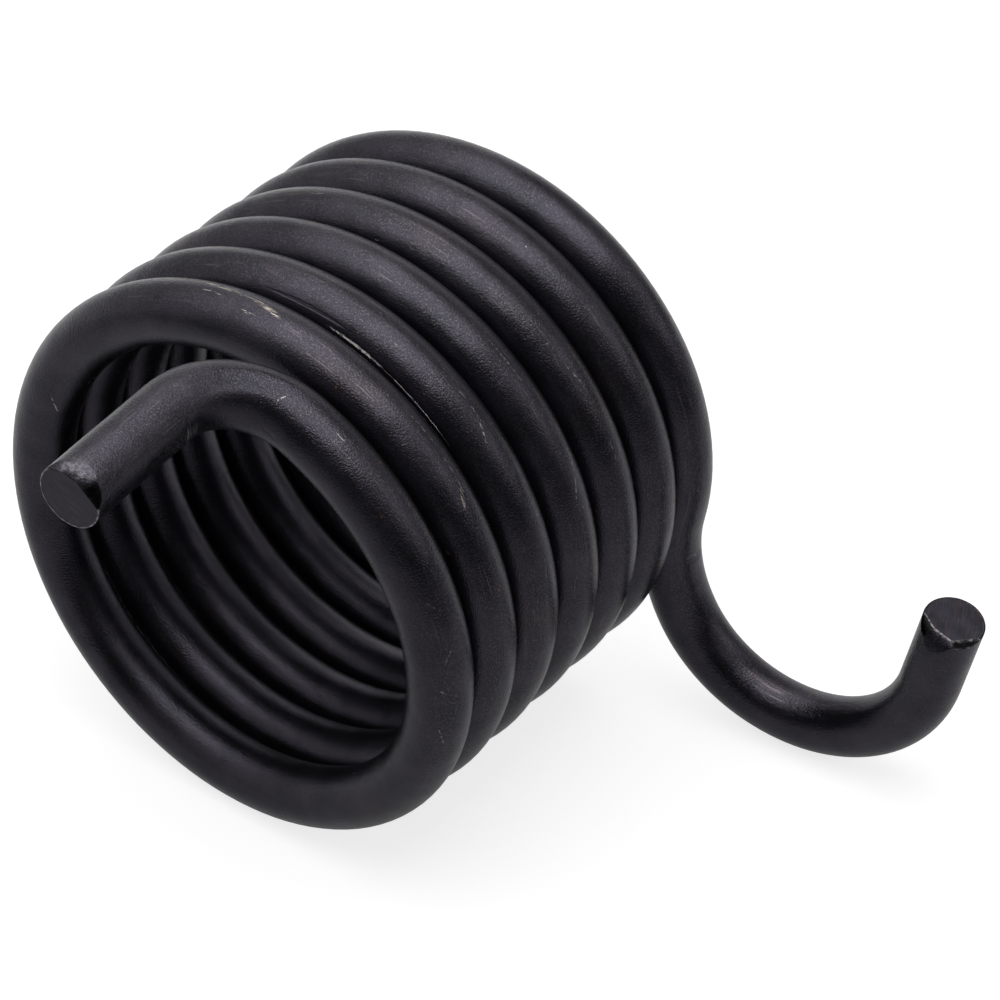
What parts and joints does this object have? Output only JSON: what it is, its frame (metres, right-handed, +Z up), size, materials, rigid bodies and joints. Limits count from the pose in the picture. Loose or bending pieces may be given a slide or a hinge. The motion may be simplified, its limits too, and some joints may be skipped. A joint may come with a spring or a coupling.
{
  "type": "torsion spring",
  "caption": "Close-wound torsion spring of heavy round wire with a straight axial leg at one end and an open hook at the other.",
  "frame": {"origin": "middle of the base of the spring as it lies on its side", "axes": "+Y along the coil's axis from the leg end to the hook end, +X across the coil to the hook, +Z up from the surface that it lies on"},
  "size_m": [0.141, 0.1126, 0.0937],
  "materials": {
    "spring_wire": "black oxide and phosphate coating over peened spring steel, satin, with fine handling scratches"
  },
  "bodies": {
    "root": {"torsion_spring": "spring_wire"}
  },
  "joints": []
}
